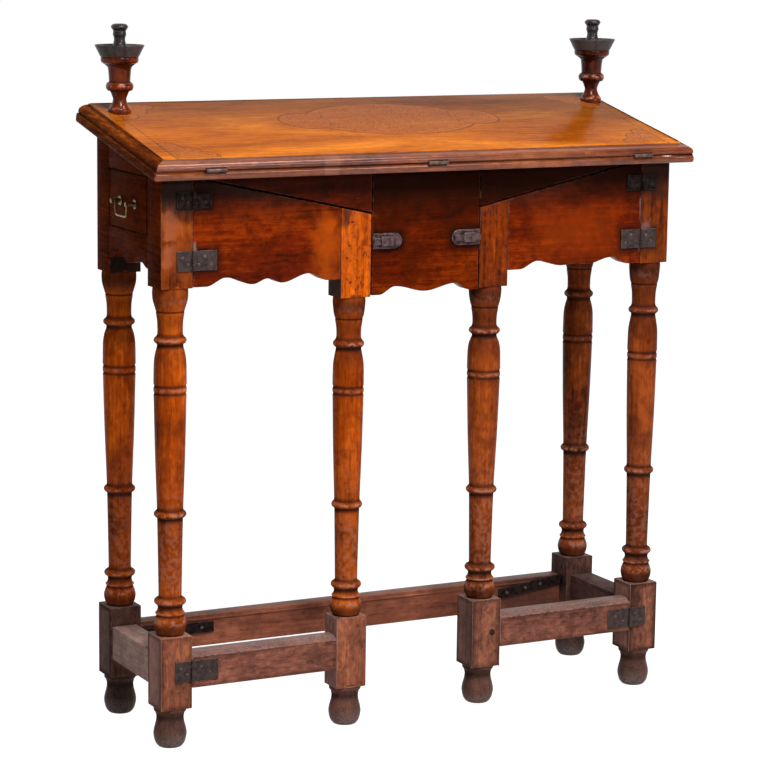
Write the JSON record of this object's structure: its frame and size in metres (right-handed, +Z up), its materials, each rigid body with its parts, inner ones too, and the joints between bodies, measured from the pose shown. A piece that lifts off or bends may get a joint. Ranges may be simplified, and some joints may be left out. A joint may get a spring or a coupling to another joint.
{
  "type": "writing table",
  "caption": "Folding gate-leg writing table: turned legs, sloping moulded leaf hinged along the front, swinging gates, small end drawer and turned candle holders",
  "frame": {"origin": "middle of the table on the floor, below the centre of its bounding box", "axes": "+Z up, -Y towards the front with the gates, +X to the right seen from the front, the drawer opens to -X"},
  "size_m": [0.816, 0.279, 0.9502],
  "materials": {
    "walnut_top": "polished",
    "walnut_case": "waxed",
    "walnut_legs": "waxed",
    "honey_wood": "waxed",
    "oak_lining": "unfinished",
    "wrought_iron": "hammered",
    "brass": "aged",
    "ebonised": "ebonised"
  },
  "bodies": {
    "frame": {"leg_front_left": "walnut_legs", "leg_front_right": "walnut_legs", "leg_back_left": "walnut_legs", "leg_back_right": "walnut_legs", "back_rail": "walnut_case", "front_rail": "walnut_case", "left_upper_rail": "walnut_case", "left_apron": "walnut_case", "right_side_rail": "walnut_case", "centre_panel": "walnut_case", "left_wedge": "walnut_case", "right_wedge": "walnut_case", "back_stretcher": "walnut_legs", "left_stretcher": "walnut_legs", "right_stretcher": "walnut_legs", "corner_bracket_left": "wrought_iron", "corner_bracket_right": "wrought_iron", "drawer_bearer": "oak_lining", "top_board": "walnut_top", "leaf_hinge_left_fixed": "wrought_iron", "leaf_hinge_centre_fixed": "wrought_iron", "leaf_hinge_right_fixed": "wrought_iron", "gate_hinge_left_upper_fixed": "wrought_iron", "gate_hinge_left_lower_fixed": "wrought_iron", "gate_hinge_left_foot_fixed": "wrought_iron", "gate_hinge_right_upper_fixed": "wrought_iron", "gate_hinge_right_lower_fixed": "wrought_iron", "gate_hinge_right_foot_fixed": "wrought_iron", "bolt_plate_left": "wrought_iron", "bolt_plate_right": "wrought_iron"},
    "leaf": {"top_leaf": "walnut_top", "leaf_hinge_left_moving": "wrought_iron", "leaf_hinge_centre_moving": "wrought_iron", "leaf_hinge_right_moving": "wrought_iron"},
    "gate_left": {"gate_left_apron": "walnut_case", "gate_left_leg": "honey_wood", "gate_left_stretcher": "walnut_legs", "gate_hinge_left_upper_moving": "wrought_iron", "gate_hinge_left_lower_moving": "wrought_iron", "gate_hinge_left_foot_moving": "wrought_iron"},
    "gate_right": {"gate_right_apron": "walnut_case", "gate_right_leg": "honey_wood", "gate_right_stretcher": "walnut_legs", "gate_hinge_right_upper_moving": "wrought_iron", "gate_hinge_right_lower_moving": "wrought_iron", "gate_hinge_right_foot_moving": "wrought_iron"},
    "drawer": {"drawer_front": "walnut_case", "drawer_side_front": "oak_lining", "drawer_side_back": "oak_lining", "drawer_back": "oak_lining", "drawer_bottom": "oak_lining", "handle_post_front": "brass", "handle_post_back": "brass"},
    "bail": {"drawer_bail": "brass"},
    "bolt_left": {"bolt_left": "wrought_iron"},
    "bolt_right": {"bolt_right": "wrought_iron"},
    "candle_left": {"candle_stem_left": "walnut_legs", "candle_pan_left": "ebonised"},
    "candle_right": {"candle_stem_right": "walnut_legs", "candle_pan_right": "ebonised"}
  },
  "joints": [
    {"name": "leaf_fold", "type": "hinge", "parent": "frame", "child": "leaf", "pos_m": [0, -0.13692, 0.7735], "axis": [1, 0, 0], "range_deg": [0, 180]},
    {"name": "gate_left_swing", "type": "hinge", "parent": "frame", "child": "gate_left", "pos_m": [-0.342, -0.10892, 0.4], "axis": [0, 0, -1], "range_deg": [0, 85]},
    {"name": "gate_right_swing", "type": "hinge", "parent": "frame", "child": "gate_right", "pos_m": [0.342, -0.10892, 0.4], "axis": [0, 0, 1], "range_deg": [0, 85]},
    {"name": "drawer_slide", "type": "slide", "parent": "frame", "child": "drawer", "axis": [-1, 0, 0], "range_m": [0, 0.24]},
    {"name": "bail_swing", "type": "hinge", "parent": "drawer", "child": "bail", "pos_m": [-0.397, 0.00508, 0.7205], "axis": [0, 1, 0], "range_deg": [0, 90]},
    {"name": "bolt_left_slide", "type": "slide", "parent": "frame", "child": "bolt_left", "axis": [-1, 0, 0], "range_m": [0, 0.014]},
    {"name": "bolt_right_slide", "type": "slide", "parent": "frame", "child": "bolt_right", "axis": [1, 0, 0], "range_m": [0, 0.014]},
    {"name": "candle_left_lift", "type": "slide", "parent": "leaf", "child": "candle_left", "axis": [0, 0, 1], "range_m": [0, 0.03]},
    {"name": "candle_right_lift", "type": "slide", "parent": "leaf", "child": "candle_right", "axis": [0, 0, 1], "range_m": [0, 0.03]}
  ]
}
